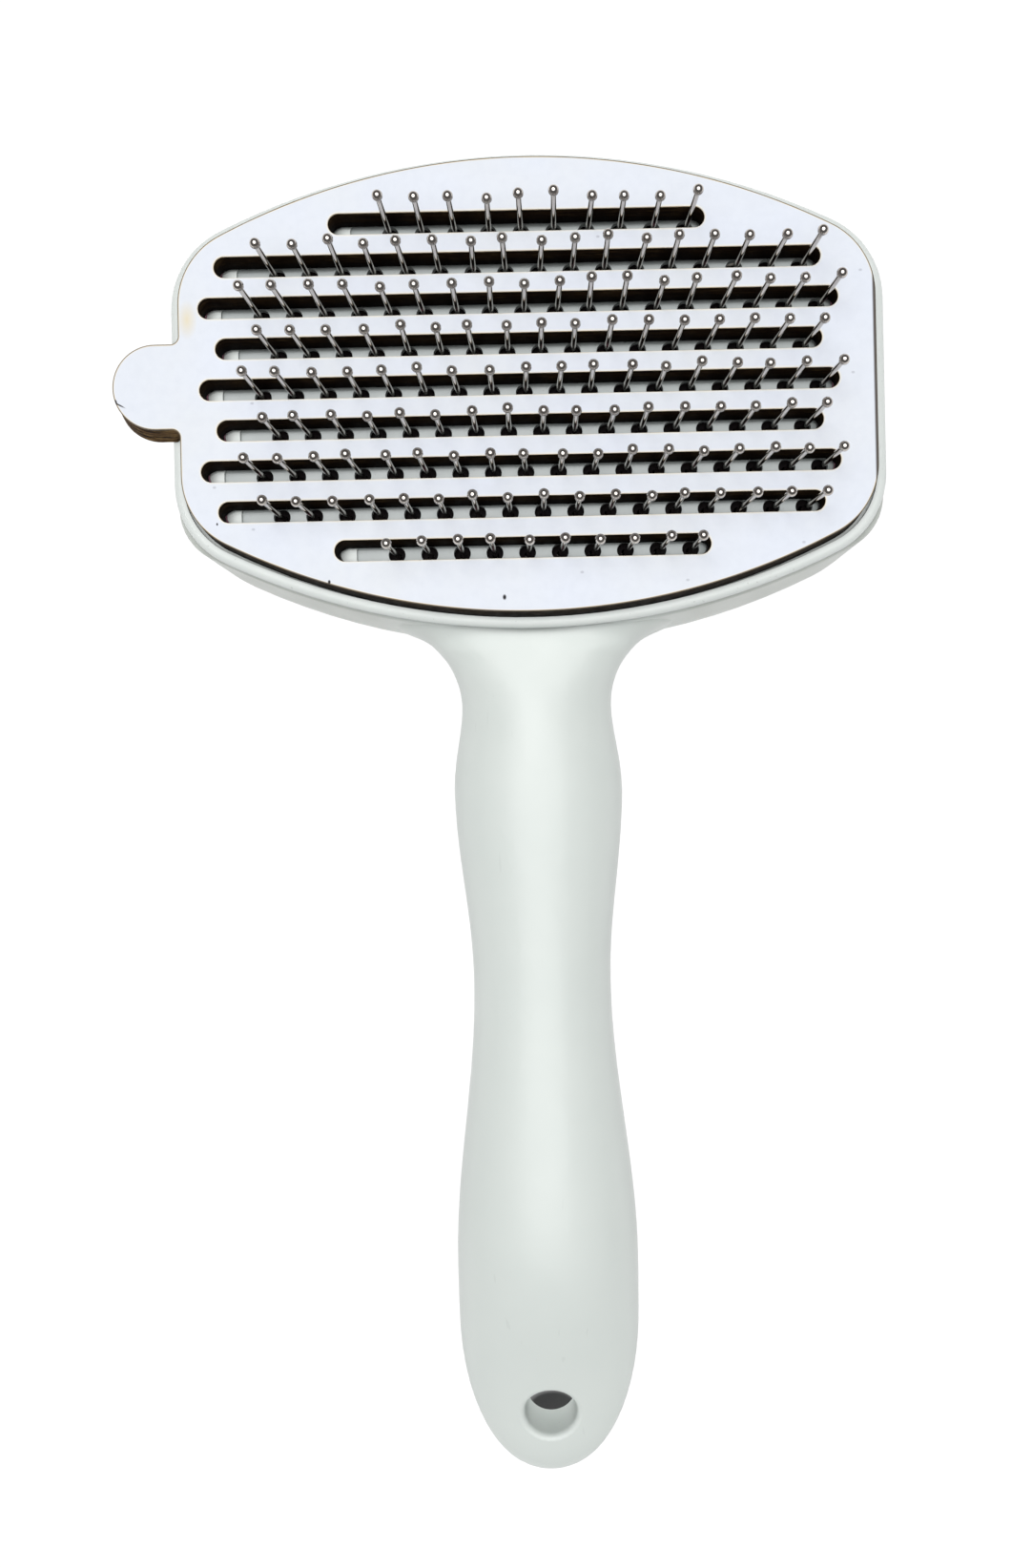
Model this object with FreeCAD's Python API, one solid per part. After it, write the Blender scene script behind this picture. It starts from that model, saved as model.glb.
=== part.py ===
"""Self-cleaning slicker brush with a lift-off cleaning board.

Frame, in millimetres: the origin is the centre of the hanging hole, on the plane where the two
shells meet. +Y runs up the handle to the head, and +Z is the way the pins point.
"""
import FreeCAD, Part
import math
import os

V = FreeCAD.Vector
UP = V(0, 0, 1)

# ---- driving dimensions -------------------------------------------------------------------
HEAD_Y = 160.5            # hanging hole to the head's centre
REST_Z = -12.0            # what the brush lies on
WALL = 2.2                # shell thickness of the head
HANDLE_WALL = 2.0         # shell thickness of the handle
PAST = 1.0                # how far a cutting solid runs past the face that it cuts

# head outlines: half width, half height, radius of the long arcs, corner radius
RIM_OUTLINE = (54.5, 36.2, 107.4, 13.4)
HOUSING_TOP_OUTLINE = (54.6, 36.4, 107.4, 8.0)
HOUSING_PARTING_OUTLINE = (54.9, 37.3, 108.0, 15.0)
BOARD_OUTLINE = (52.3, 34.1, 101.6, 11.6)

# head levels along Z
BACK_Z = -11.0
BACK_EDGE_R = 7.0
BACK_FLOOR_Z = BACK_Z + 2.0
BACK_FLOOR_R = 4.0
LEDGE = 2.0               # width and thickness of the ledge under the pin board
HOUSING_TOP_R = 0.9
PIN_BOARD_Z = 6.2
PIN_BOARD_THICKNESS = 2.8
PIN_BOARD_TOP_Z = PIN_BOARD_Z + PIN_BOARD_THICKNESS
HOUSING_TOP_Z = 9.5
FACE_UNDER_Z = 9.9
FACE_UNDER_R = 0.7
FACE_TOP_Z = 12.0
BEAD_R = 1.0
BEAD_WIDTH = 1.6
FIELD_Z = 11.4            # sunk field inside the bead, where the board lies
CHANNEL_Z = 11.0          # floor of the shallow channel along each row of holes

# pins
ROW_COUNTS = (10, 17, 18, 17, 18, 17, 18, 17, 10)
ROW_PITCH = 6.12
PIN_PITCH = 5.0
PIN_SHIFT_X = 1.8         # the pin field stands a little to the right of the head's centre
PIN_SHIFT_Y = -0.1
PIN_WIRE_R = 0.4
PIN_BALL_R = 0.78
PIN_TIP_Z = 25.0          # centre of the ball
PIN_HEAD_R = 0.9
PIN_HEAD_THICKNESS = 0.5
PIN_LEAN_X = 0.40         # how far a tip may stand off its root
PIN_LEAN_Y = 0.20
PIN_HEIGHT_SPREAD = 0.45
PIN_HOLE_CLEARANCE = 0.12  # lets the wire lean inside the pin board
FACE_HOLE_R = 1.3
CHANNEL_HALF_WIDTH = 1.67
CHANNEL_END = 6.1         # channel's end past its last hole
CHANNEL_CORNER_R = 1.1
RETAINER_GAP = 1.8        # the pin retainer stands this far inside the side wall's ledge

# lift-off board
LIFT_GAP = 0.05
BACKING_THICKNESS = 0.6
CORE_THICKNESS = 2.7
FACING_THICKNESS = 0.25
SLOT_HALF_WIDTH = 1.6
BACKING_LEDGE = 0.32      # how far the backing shows inside a slot
SLOT_SHIFT_X = -1.3
SLOT_LENGTHS = (56.5, 91.0, 96.0, 91.0, 96.0, 91.0, 96.0, 91.0, 56.5)
TAB_R = 6.4
TAB_REACH = 10.0          # tab's length past the board's edge
TAB_Y = 0.6
TAB_ROOT_R = 1.2          # hollow fillets where the tab leaves the board
TAB_OVERLAP = 3.0         # how far the tab's root runs into the board

# ejector
TRAVEL = 9.5
POST_X = 31.0
POST_Y = 23.4
POST_R = 2.2
POST_THREAD_R = 1.0
POST_THREAD_TOP_Z = 1.0
BUSH_OUTER_R = 3.18
BUSH_CLEARANCE = 0.05
BUSH_SEAT_CLEARANCE = 0.02
BUSH_FLANGE = 0.8
BUSH_FLANGE_THICKNESS = 0.4
CARRIER_Z = -8.6
CARRIER_THICKNESS = 1.8
CARRIER_ARM_WIDTH = 7.0
CARRIER_PAD_R = 4.0
BUTTON_R = 16.6
BUTTON_FACE_Z = -11.4
BUTTON_EDGE_R = 0.8
BUTTON_WALL = 1.8
BUTTON_DISH_R = 90.0      # ball radius of the thumb dish
BUTTON_DISH_DEPTH = 1.0
BUTTON_HOLLOW = 0.6
SNAP_CIRCLE_R = 12.5
SNAP_PEG_R = 1.45
SNAP_HOLE_R = 1.55
SNAP_HEAD_R = 1.8
SNAP_TIP_R = 1.2
SNAP_HEAD_HEIGHT = 0.6
SNAP_ROOT = 1.2
COLLAR_INNER_R = 17.0
COLLAR_OUTER_R = 21.5
COLLAR_EDGE_R = 0.8
SPRING_MEAN_R = 3.0
SPRING_WIRE_R = 0.25
SPRING_END_GAP = 0.02
SPRING_TURNS = 5
RETAINER_Z = CARRIER_Z + CARRIER_THICKNESS + TRAVEL + 1.7    # clears the snap pegs at full press

# handle
HOLE_R = 4.15
HOLE_LIP_R = 0.8
END_Y = -11.2             # tip of the handle
END_WIDTH_Y = 14.0        # where the end begins to narrow, seen from the front
END_THICKNESS_Y = -4.5    # where its edge begins to thin, seen from the side
END_POWER = 2.2
END_GAP = 0.1             # the first section stands this far inside the tip, where it still has some size
WIDTH_STATIONS = (        # distance from the hole, half width
    (-12.0, 14.0),
    (23.0, 14.65),
    (68.0, 11.1),
    (100.0, 13.6),
    (112.8, 12.1),
)
FRONT_STATIONS = (        # distance from the hole, height of the front over the parting plane
    (-12.0, 2.8),
    (30.0, 11.6),
    (68.0, 9.8),
    (100.0, 11.2),
    (128.0, 9.4),
)
BACK_STATIONS = (         # distance from the hole, depth of the back under the parting plane
    (-12.0, 3.9),
    (30.0, 12.0),
    (68.0, 10.0),
    (100.0, 11.0),
    (128.0, 10.6),
)
NECK_FILLET_R = 13.0      # plan fillet between the neck and the head
NECK_HALF_WIDTH = 12.1
END_STEP = 2.0            # spacing of the sections that the handle is lofted through
GRIP_STEP = 7.0
ROUND_SECTION_POWER = 2.0
HEAD_SECTION_POWER = 3.6
HANDLE_HOLLOW_START = 17.0
HANDLE_HOLLOW_STOP = 120.5
HANDLE_STOP = 127.0       # the handle's walls run this far into the head
HANDLE_SCREW_YS = (45.0, 100.0)
HEAD_SCREW_X = 49.6
SCREW_SEAT_Z = -6.0       # where the housing screws' heads sit
SCREW_WELL_R = 2.5
SCREW_CLEARANCE_R = 1.3
SCREW_POST_R = 2.7
SCREW_THREAD_R = 1.1
HANDLE_WELL_POST_R = 3.9
HEAD_WELL_POST_R = 3.2
WELL_POST_INSET = 0.8
PIN_BOARD_POST_R = 2.4
PIN_BOARD_THREAD_R = 1.0
PIN_BOARD_SCREW_DEPTH = 1.2    # the heads stand this far into the pin board

# screws: head radius, head height, shank radius
HOUSING_SCREW = (2.3, 1.6, 1.05)
PIN_BOARD_SCREW = (1.9, 1.0, 0.95)
CARRIER_SCREW = (1.9, 0.9, 0.95)
CROSS_ARM = 0.62          # cross recess: arm length, arm width and depth as shares of the head
CROSS_WIDTH = 0.13
CROSS_DEPTH = 0.55
PIN_BOARD_SCREWS = ((0.0, 31.3), (0.0, -31.3), (49.2, 10.0), (49.2, -10.0), (-49.2, 10.0), (-49.2, -10.0))


# ---- outlines -----------------------------------------------------------------------------
def barrel_wire(outline, z, inset=0.0):
    """Head outline: long arcs above and below, straight sides and rounded corners."""
    half_x, half_y, arc_r, corner_r = outline
    half_x, half_y, arc_r = half_x - inset, half_y - inset, arc_r - inset
    corner_r = max(corner_r - inset, 1.0)
    arc_y = half_y - arc_r
    corner_x = half_x - corner_r
    corner_y = arc_y + math.sqrt((arc_r - corner_r) ** 2 - corner_x ** 2)
    lean = math.atan2(corner_y - arc_y, corner_x)

    def at(sx, sy, x, y):
        return V(sx * x, HEAD_Y + sy * y, z)

    join = (arc_r * math.cos(lean), arc_y + arc_r * math.sin(lean))
    bend = (corner_x + corner_r * math.cos(lean / 2), corner_y + corner_r * math.sin(lean / 2))
    side = (half_x, corner_y)
    edges = [
        Part.Arc(at(-1, 1, *join), at(1, 1, 0, half_y), at(1, 1, *join)),
        Part.Arc(at(1, 1, *join), at(1, 1, *bend), at(1, 1, *side)),
        Part.LineSegment(at(1, 1, *side), at(1, -1, *side)),
        Part.Arc(at(1, -1, *side), at(1, -1, *bend), at(1, -1, *join)),
        Part.Arc(at(1, -1, *join), at(1, -1, 0, half_y), at(-1, -1, *join)),
        Part.Arc(at(-1, -1, *join), at(-1, -1, *bend), at(-1, -1, *side)),
        Part.LineSegment(at(-1, -1, *side), at(-1, 1, *side)),
        Part.Arc(at(-1, 1, *side), at(-1, 1, *bend), at(-1, 1, *join)),
    ]
    return Part.Wire([edge.toShape() for edge in edges])


def barrel(outline, low, high, inset=0.0):
    """Straight prism on a head outline."""
    return Part.Face(barrel_wire(outline, low, inset)).extrude(V(0, 0, high - low))


def slot_prism(x, y, length, half_width, low, high):
    """Long hole with half-round ends, along X."""
    reach = length / 2 - half_width
    left, right = x - reach, x + reach
    edges = [
        Part.LineSegment(V(left, y + half_width, low), V(right, y + half_width, low)),
        Part.Arc(V(right, y + half_width, low), V(right + half_width, y, low), V(right, y - half_width, low)),
        Part.LineSegment(V(right, y - half_width, low), V(left, y - half_width, low)),
        Part.Arc(V(left, y - half_width, low), V(left - half_width, y, low), V(left, y + half_width, low)),
    ]
    wire = Part.Wire([edge.toShape() for edge in edges])
    return Part.Face(wire).extrude(V(0, 0, high - low))


def disc(x, y, r, low, high):
    """Upright cylinder."""
    return Part.makeCylinder(r, high - low, V(x, y, low), UP)


def edges_at(shape, z):
    """Edges that lie wholly in one level plane."""
    flat = []
    for edge in shape.Edges:
        box = edge.BoundBox
        if abs(box.ZMin - z) < 1e-4 and abs(box.ZMax - z) < 1e-4:
            flat.append(edge)
    return flat


def mirrored_four(x, y):
    """The four places that mirror one corner of the head about its centre."""
    return [(sx * x, HEAD_Y + sy * y) for sx in (-1, 1) for sy in (-1, 1)]


# ---- handle -------------------------------------------------------------------------------
def along_handle(stations, y):
    """One handle measure at a place along it, eased between the stations."""
    for (start_y, start), (end_y, end) in zip(stations, stations[1:]):
        if y <= end_y:
            part = (y - start_y) / (end_y - start_y)
            ease = (1 - math.cos(math.pi * part)) / 2
            return start + (end - start) * ease
    return stations[-1][1]


def end_rounding(y, start):
    """Falls from one at start to nothing at the handle's rounded end."""
    if y >= start:
        return 1.0
    part = (start - y) / (start - END_Y)
    return (1 - part ** END_POWER) ** (1 / END_POWER)


def half_width(y):
    """Half width of the handle, with the round flare into the head."""
    flare_y = neck_flare_y()
    if y <= flare_y:
        return along_handle(WIDTH_STATIONS, y) * end_rounding(y, END_WIDTH_Y)
    rise = min(y - flare_y, 0.975 * NECK_FILLET_R)
    return NECK_HALF_WIDTH + NECK_FILLET_R - math.sqrt(NECK_FILLET_R ** 2 - rise ** 2)


def neck_flare_y():
    """Where the plan fillet that is tangent to the neck and to the head's lower arc begins."""
    half_y, arc_r = HOUSING_PARTING_OUTLINE[1], HOUSING_PARTING_OUTLINE[2]
    arc_centre_y = HEAD_Y - half_y + arc_r
    return arc_centre_y - math.sqrt((arc_r + NECK_FILLET_R) ** 2 - (NECK_HALF_WIDTH + NECK_FILLET_R) ** 2)


def handle_section(y, side, inset=0.0):
    """Half of the handle's section, closed along the parting plane."""
    width = half_width(y) - inset
    stations = FRONT_STATIONS if side > 0 else BACK_STATIONS
    height = along_handle(stations, y) * end_rounding(y, END_THICKNESS_Y) - inset
    near_head = min(max((y - neck_flare_y()) / NECK_FILLET_R, 0.0), 1.0)
    power = ROUND_SECTION_POWER + (HEAD_SECTION_POWER - ROUND_SECTION_POWER) * near_head
    points = []
    steps = 12
    for step in range(steps + 1):
        turn = math.pi * step / steps
        cosine, sine = math.cos(turn), math.sin(turn)
        x = width * math.copysign(abs(cosine) ** (2 / power), cosine)
        z = side * height * max(sine, 0.0) ** (2 / power)
        points.append(V(x, y, z))
    curve = Part.BSplineCurve()
    curve.interpolate(points)
    return Part.Wire([curve.toShape(), Part.LineSegment(points[-1], points[0]).toShape()])


def handle_half(side, start, stop, inset=0.0):
    """Half of the handle as one smooth solid."""
    places = [start]
    step = END_STEP / 2
    while places[-1] < stop - step:
        places.append(places[-1] + step)
        near_end = places[-1] < END_WIDTH_Y
        near_neck = places[-1] > neck_flare_y() - 3
        step = END_STEP if near_end or near_neck else GRIP_STEP
    places.append(stop)
    return Part.makeLoft([handle_section(y, side, inset) for y in places], True, False)


def handle_with_hole(side):
    """Half of the handle with its half of the hanging hole, whose lip is rounded."""
    grip = handle_half(side, END_Y + END_GAP, HANDLE_STOP).cut(disc(0, 0, HOLE_R, REST_Z - PAST, -REST_Z))
    lip = []
    for edge in grip.Edges:
        box = edge.BoundBox
        hole_sized = abs(box.XLength - 2 * HOLE_R) < 0.2
        round_hole = abs(box.Center.x) < 0.1 and abs(box.Center.y) < 0.5
        if hole_sized and round_hole and abs(box.Center.z) > 1.0:
            lip.append(edge)
    return grip.makeFillet(HOLE_LIP_R, lip)


# ---- housing ------------------------------------------------------------------------------
def screw_boss(x, y, high, hole_depth):
    """Round post on the parting plane, and the blind hole that a screw cuts its thread in."""
    post = disc(x, y, SCREW_POST_R, 0.0, high)
    hole = disc(x, y, SCREW_THREAD_R, -PAST, hole_depth)
    return post, hole


def front_housing():
    """Side wall of the head, the ledge for the pin board, and the front half of the handle."""
    foot = barrel_wire(HOUSING_PARTING_OUTLINE, 0.0)
    top = barrel_wire(HOUSING_TOP_OUTLINE, HOUSING_TOP_Z)
    head = Part.makeLoft([foot, top], True, True)
    head = head.makeFillet(HOUSING_TOP_R, edges_at(head, HOUSING_TOP_Z))
    shell = head.fuse(handle_with_hole(1))
    cavity = barrel(HOUSING_TOP_OUTLINE, -PAST, PIN_BOARD_Z - LEDGE, WALL)
    ledge_hole = barrel(HOUSING_TOP_OUTLINE, 0, PIN_BOARD_Z, WALL + LEDGE)
    board_recess = barrel(HOUSING_TOP_OUTLINE, PIN_BOARD_Z, HOUSING_TOP_Z + 10 * PAST, WALL)
    grip_hollow = handle_half(1, HANDLE_HOLLOW_START, HANDLE_HOLLOW_STOP, HANDLE_WALL)
    shell = shell.cut([cavity, ledge_hole, board_recess, grip_hollow])

    posts, holes = [], []
    for x, y in PIN_BOARD_SCREWS:
        posts.append(disc(x, HEAD_Y + y, PIN_BOARD_POST_R, 0.6, PIN_BOARD_Z))
        holes.append(disc(x, HEAD_Y + y, PIN_BOARD_THREAD_R, 1.2, PIN_BOARD_Z + PAST))
    bosses = [screw_boss(side * HEAD_SCREW_X, HEAD_Y, PIN_BOARD_Z - 0.6, 5.0) for side in (-1, 1)]
    bosses += [screw_boss(0.0, y, along_handle(FRONT_STATIONS, y) - 1.0, 6.0) for y in HANDLE_SCREW_YS]
    posts += [post for post, _ in bosses]
    holes += [hole for _, hole in bosses]
    return shell.fuse(posts).cut(holes).removeSplitter()


def rear_housing():
    """Back of the head with the button's collar, and the back half of the handle."""
    head = barrel(HOUSING_PARTING_OUTLINE, BACK_Z, 0.0)
    head = head.makeFillet(BACK_EDGE_R, edges_at(head, BACK_Z))
    collar = disc(0, HEAD_Y, COLLAR_OUTER_R, REST_Z, BACK_FLOOR_Z)
    collar = collar.makeFillet(COLLAR_EDGE_R, edges_at(collar, REST_Z))
    shell = head.fuse([handle_with_hole(-1), collar])
    cavity = barrel(HOUSING_PARTING_OUTLINE, BACK_FLOOR_Z, PAST, WALL)
    cavity = cavity.makeFillet(BACK_FLOOR_R, edges_at(cavity, BACK_FLOOR_Z))
    grip_hollow = handle_half(-1, HANDLE_HOLLOW_START, HANDLE_HOLLOW_STOP, HANDLE_WALL)
    button_hole = disc(0, HEAD_Y, COLLAR_INNER_R, REST_Z - PAST, PAST)
    shell = shell.cut([cavity, grip_hollow, button_hole])

    posts, holes = [], []
    for side in (-1, 1):
        posts.append(disc(side * HEAD_SCREW_X, HEAD_Y, HEAD_WELL_POST_R, BACK_Z + 1.0, 0.0))
        holes += screw_well(side * HEAD_SCREW_X, HEAD_Y)
    for y in HANDLE_SCREW_YS:
        posts.append(disc(0.0, y, HANDLE_WELL_POST_R, 1.0 - along_handle(BACK_STATIONS, y), 0.0))
        holes += screw_well(0.0, y)
    head_limit = barrel(HOUSING_PARTING_OUTLINE, BACK_Z, 0.0, WELL_POST_INSET)
    handle_limit = handle_half(-1, HANDLE_HOLLOW_START, HANDLE_STOP, HANDLE_WALL / 4)
    wall_limit = head_limit.fuse(handle_limit)
    posts = [post.common(wall_limit) for post in posts]
    return shell.fuse(posts).cut(holes).removeSplitter()


def screw_well(x, y):
    """Counterbored hole from the back for one housing screw."""
    well = disc(x, y, SCREW_WELL_R, REST_Z - PAST, SCREW_SEAT_Z)
    clearance = disc(x, y, SCREW_CLEARANCE_R, REST_Z - PAST, PAST)
    return [well, clearance]


def screw(x, y, seat, direction, size, length):
    """Pan-head screw with a cross recess: the shank runs from the seat along direction."""
    head_r, head_height, shank_r = size
    way = V(0, 0, direction)
    shank = Part.makeCylinder(shank_r, length, V(x, y, seat), way)
    head = Part.makeCylinder(head_r, head_height, V(x, y, seat), -way)
    top = seat - direction * head_height
    head = head.makeFillet(0.3 * head_height, edges_at(head, top))
    depth = CROSS_DEPTH * head_height
    low = top if direction > 0 else top - depth
    long, narrow = CROSS_ARM * head_r, CROSS_WIDTH * head_r
    across = Part.makeBox(2 * long, 2 * narrow, depth, V(x - long, y - narrow, low))
    along = Part.makeBox(2 * narrow, 2 * long, depth, V(x - narrow, y - long, low))
    return shank.fuse(head).cut(across.fuse(along))


def housing_screws():
    """Four screws that close the two shells, driven from the back."""
    screws = [screw(side * HEAD_SCREW_X, HEAD_Y, SCREW_SEAT_Z, 1, HOUSING_SCREW, 10.5) for side in (-1, 1)]
    screws += [screw(0.0, y, SCREW_SEAT_Z, 1, HOUSING_SCREW, 11.0) for y in HANDLE_SCREW_YS]
    return Part.makeCompound(screws)


# ---- pins ---------------------------------------------------------------------------------
def row_y(row):
    """Centre line of one row, counted from the top of the head."""
    return HEAD_Y + (len(ROW_COUNTS) // 2 - row) * ROW_PITCH


def pin_places(row):
    """Roots of one row's pins."""
    count = ROW_COUNTS[row]
    first = PIN_SHIFT_X - (count - 1) * PIN_PITCH / 2
    return [(first + index * PIN_PITCH, row_y(row) + PIN_SHIFT_Y) for index in range(count)]


def wobble(row, index, seed):
    """Repeatable unevenness from -1 to 1 for one pin."""
    return math.sin(12.9898 * (row + 1) + 78.233 * (index + 1) + 37.719 * seed)


def pin(x, y, row, index):
    """One pin: flat head, slightly leaning wire and ball tip."""
    root = V(x, y, PIN_BOARD_Z - PIN_HEAD_THICKNESS / 2)
    tip = V(x + PIN_LEAN_X * wobble(row, index, 1), y + PIN_LEAN_Y * wobble(row, index, 2),
            PIN_TIP_Z + PIN_HEIGHT_SPREAD * wobble(row, index, 3))
    head = disc(x, y, PIN_HEAD_R, PIN_BOARD_Z - PIN_HEAD_THICKNESS, PIN_BOARD_Z)
    wire = Part.makeCylinder(PIN_WIRE_R, (tip - root).Length, root, tip - root)
    ball = Part.makeSphere(PIN_BALL_R, tip, tip - root)
    return head.fuse([wire, ball])


def pin_row(row):
    """All pins of one row."""
    return Part.makeCompound([pin(x, y, row, index) for index, (x, y) in enumerate(pin_places(row))])


def all_pin_places():
    return [place for row in range(len(ROW_COUNTS)) for place in pin_places(row)]


def pin_board():
    """Rigid plate that the pins are pressed through."""
    plate = barrel(HOUSING_TOP_OUTLINE, PIN_BOARD_Z, PIN_BOARD_TOP_Z, WALL + 0.15)
    low, high = PIN_BOARD_Z - PAST, PIN_BOARD_TOP_Z + PAST
    holes = [disc(x, y, PIN_WIRE_R + PIN_HOLE_CLEARANCE, low, high) for x, y in all_pin_places()]
    seat_r = BUSH_OUTER_R + BUSH_SEAT_CLEARANCE
    holes += [disc(x, y, seat_r, low, high) for x, y in mirrored_four(POST_X, POST_Y)]
    for x, y in PIN_BOARD_SCREWS:
        holes.append(disc(x, HEAD_Y + y, 1.2, low, high))
        holes.append(disc(x, HEAD_Y + y, 2.1, PIN_BOARD_TOP_Z - PIN_BOARD_SCREW_DEPTH, high))
    return plate.cut(Part.makeCompound(holes))


def pin_retainer():
    """Rubber sheet that holds the pins' heads against the pin board."""
    sheet = barrel(HOUSING_TOP_OUTLINE, RETAINER_Z, PIN_BOARD_Z, WALL + LEDGE + RETAINER_GAP)
    low, high = RETAINER_Z - PAST, PIN_BOARD_Z + PAST
    head_z = PIN_BOARD_Z - PIN_HEAD_THICKNESS
    pockets = [disc(x, y, PIN_HEAD_R + 0.03, head_z, high) for x, y in all_pin_places()]
    pockets += [disc(x, y, SPRING_MEAN_R + 0.9, low, high) for x, y in mirrored_four(POST_X, POST_Y)]
    pockets += [disc(x, HEAD_Y + y, PIN_BOARD_POST_R + 0.4, low, high) for x, y in PIN_BOARD_SCREWS]
    pockets += [disc(side * HEAD_SCREW_X, HEAD_Y, SCREW_POST_R + 0.4, low, high) for side in (-1, 1)]
    return sheet.cut(Part.makeCompound(pockets))


def pin_board_screws():
    """Six screws that hold the pin board on the housing's ledge."""
    seat = PIN_BOARD_TOP_Z - PIN_BOARD_SCREW_DEPTH
    screws = [screw(x, HEAD_Y + y, seat, -1, PIN_BOARD_SCREW, 5.6) for x, y in PIN_BOARD_SCREWS]
    return Part.makeCompound(screws)


# ---- ejector ------------------------------------------------------------------------------
def row_channel(row):
    """Shallow channel that one row of pin holes lies in."""
    places = pin_places(row)
    left = places[0][0] - CHANNEL_END
    length = places[-1][0] + CHANNEL_END - left
    corner = V(left, places[0][1] - CHANNEL_HALF_WIDTH, CHANNEL_Z)
    channel = Part.makeBox(length, 2 * CHANNEL_HALF_WIDTH, FACE_TOP_Z + PAST - CHANNEL_Z, corner)
    upright = [edge for edge in channel.Edges if edge.BoundBox.ZLength > PAST]
    return channel.makeFillet(CHANNEL_CORNER_R, upright)


def face_plate():
    """White plate with the bead rim, channels and pin holes, and its four posts."""
    plate = barrel(RIM_OUTLINE, FACE_UNDER_Z, FACE_TOP_Z)
    plate = plate.makeFillet(BEAD_R, edges_at(plate, FACE_TOP_Z))
    plate = plate.makeFillet(FACE_UNDER_R, edges_at(plate, FACE_UNDER_Z))
    cuts = [barrel(RIM_OUTLINE, FIELD_Z, FACE_TOP_Z + PAST, BEAD_WIDTH)]
    cuts += [row_channel(row) for row in range(len(ROW_COUNTS))]
    pin_holes = [disc(x, y, FACE_HOLE_R, FACE_UNDER_Z - PAST, FACE_TOP_Z + PAST) for x, y in all_pin_places()]
    cuts.append(Part.makeCompound(pin_holes))
    corners = mirrored_four(POST_X, POST_Y)
    posts = [disc(x, y, POST_R, CARRIER_Z + CARRIER_THICKNESS, FACE_UNDER_Z) for x, y in corners]
    threads = [disc(x, y, POST_THREAD_R, CARRIER_Z, POST_THREAD_TOP_Z) for x, y in corners]
    return plate.cut(cuts).fuse(posts).cut(threads)


def guide_bushes():
    """Four flanged bushes that the posts slide in."""
    bushes = []
    flange_top = PIN_BOARD_TOP_Z + BUSH_FLANGE_THICKNESS
    for x, y in mirrored_four(POST_X, POST_Y):
        body = disc(x, y, BUSH_OUTER_R, PIN_BOARD_Z, PIN_BOARD_TOP_Z)
        flange = disc(x, y, BUSH_OUTER_R + BUSH_FLANGE, PIN_BOARD_TOP_Z, flange_top)
        bore = disc(x, y, POST_R + BUSH_CLEARANCE, PIN_BOARD_Z - PAST, flange_top + PAST)
        bushes.append(body.fuse(flange).cut(bore))
    return Part.makeCompound(bushes)


def snap_places():
    """Three snap pegs of the button, evenly round its centre."""
    turns = [math.radians(degrees) for degrees in (90, 210, 330)]
    return [(SNAP_CIRCLE_R * math.cos(turn), HEAD_Y + SNAP_CIRCLE_R * math.sin(turn)) for turn in turns]


def ejector_carrier():
    """Cross-shaped plate that ties the button to the four posts."""
    top = CARRIER_Z + CARRIER_THICKNESS
    corners = mirrored_four(POST_X, POST_Y)
    parts = [disc(x, y, CARRIER_PAD_R, CARRIER_Z, top) for x, y in corners]
    reach = math.hypot(POST_X, POST_Y)
    for side in (-1, 1):
        corner = V(-reach, -CARRIER_ARM_WIDTH / 2, CARRIER_Z)
        bar = Part.makeBox(2 * reach, CARRIER_ARM_WIDTH, CARRIER_THICKNESS, corner)
        bar.rotate(V(0, 0, 0), UP, side * math.degrees(math.atan2(POST_Y, POST_X)))
        bar.translate(V(0, HEAD_Y, 0))
        parts.append(bar)
    plate = disc(0, HEAD_Y, BUTTON_R, CARRIER_Z, top).fuse(parts)
    holes = [disc(x, y, 1.2, CARRIER_Z - PAST, top + PAST) for x, y in corners]
    holes += [disc(x, y, 2.1, CARRIER_Z - PAST, CARRIER_Z + 1.0) for x, y in corners]
    holes += [disc(x, y, SNAP_HOLE_R, CARRIER_Z - PAST, top + PAST) for x, y in snap_places()]
    return plate.cut(holes).removeSplitter()


def push_button():
    """Round thumb button with a dished face, hollow inside, on three snap pegs."""
    cap = disc(0, HEAD_Y, BUTTON_R, BUTTON_FACE_Z, CARRIER_Z)
    cap = cap.makeFillet(BUTTON_EDGE_R, edges_at(cap, BUTTON_FACE_Z))
    dish = Part.makeSphere(BUTTON_DISH_R, V(0, HEAD_Y, BUTTON_FACE_Z + BUTTON_DISH_DEPTH - BUTTON_DISH_R))
    hollow = disc(0, HEAD_Y, BUTTON_R - BUTTON_WALL, CARRIER_Z - BUTTON_HOLLOW, CARRIER_Z + PAST)
    peg_top = CARRIER_Z + CARRIER_THICKNESS + 0.02
    pegs = []
    for x, y in snap_places():
        pegs.append(disc(x, y, SNAP_PEG_R, CARRIER_Z - SNAP_ROOT, peg_top))
        pegs.append(Part.makeCone(SNAP_HEAD_R, SNAP_TIP_R, SNAP_HEAD_HEIGHT, V(x, y, peg_top)))
    return cap.cut([dish, hollow]).fuse(pegs)


def carrier_screws():
    """Four screws that fix the carrier to the posts' ends."""
    corners = mirrored_four(POST_X, POST_Y)
    return Part.makeCompound([screw(x, y, CARRIER_Z + 1.0, 1, CARRIER_SCREW, 8.0) for x, y in corners])


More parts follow.
